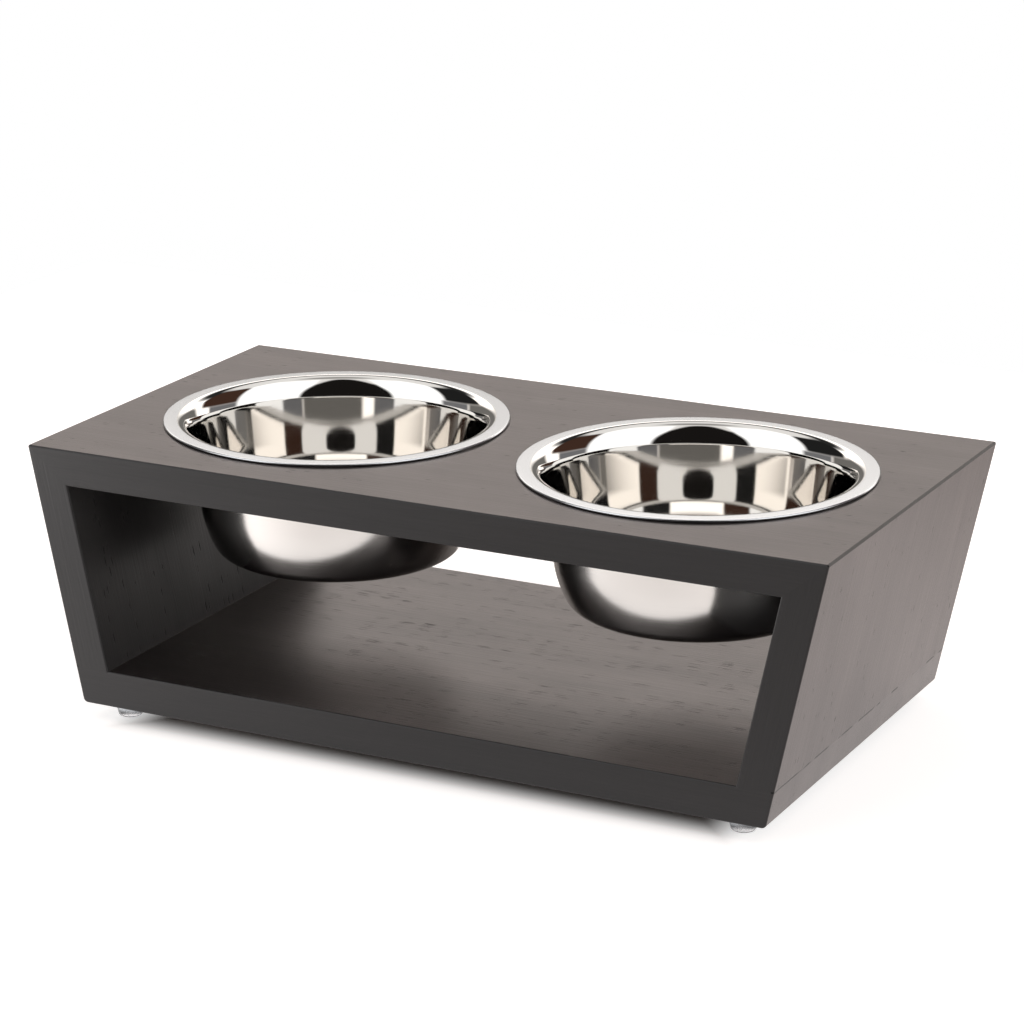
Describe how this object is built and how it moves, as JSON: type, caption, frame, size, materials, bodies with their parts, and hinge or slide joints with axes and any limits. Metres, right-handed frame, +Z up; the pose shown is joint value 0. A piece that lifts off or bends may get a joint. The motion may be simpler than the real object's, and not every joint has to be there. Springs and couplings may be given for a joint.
{
  "type": "double pet bowl stand",
  "caption": "Raised open-fronted wooden stand with outward-leaning sides and round lift-out steel bowls sunk in its top board, for feeding a pet.",
  "frame": {"origin": "on the floor, under the middle of the stand", "axes": "+X along the stand to the right seen from the front, -Y out of the front, +Z up"},
  "size_m": [0.3446, 0.18, 0.1142],
  "materials": {
    "stained_wood": "near-black stain under satin lacquer, grain showing",
    "bowl_steel": "polished inside, satin flange and outside",
    "clear_foot": "clear soft polyurethane, glossy",
    "foot_adhesive": "clear tacky film",
    "dowel_wood": "bare beech"
  },
  "bodies": {
    "stand": {"top_board": "stained_wood", "bottom_board": "stained_wood", "left_side_board": "stained_wood", "right_side_board": "stained_wood", "top_left_front_dowel": "dowel_wood", "bottom_left_front_dowel": "dowel_wood", "top_left_middle_dowel": "dowel_wood", "bottom_left_middle_dowel": "dowel_wood", "top_left_back_dowel": "dowel_wood", "bottom_left_back_dowel": "dowel_wood", "top_right_front_dowel": "dowel_wood", "bottom_right_front_dowel": "dowel_wood", "top_right_middle_dowel": "dowel_wood", "bottom_right_middle_dowel": "dowel_wood", "top_right_back_dowel": "dowel_wood", "bottom_right_back_dowel": "dowel_wood", "front_left_foot": "clear_foot", "back_left_foot": "clear_foot", "front_right_foot": "clear_foot", "back_right_foot": "clear_foot", "front_left_foot_adhesive": "foot_adhesive", "back_left_foot_adhesive": "foot_adhesive", "front_right_foot_adhesive": "foot_adhesive", "back_right_foot_adhesive": "foot_adhesive"},
    "left_bowl": {"left_bowl": "bowl_steel"},
    "right_bowl": {"right_bowl": "bowl_steel"}
  },
  "joints": [
    {"name": "left_bowl_lift", "type": "slide", "parent": "stand", "child": "left_bowl", "axis": [0, 0, 1], "range_m": [0, 0.09]},
    {"name": "right_bowl_lift", "type": "slide", "parent": "stand", "child": "right_bowl", "axis": [0, 0, 1], "range_m": [0, 0.09]}
  ]
}
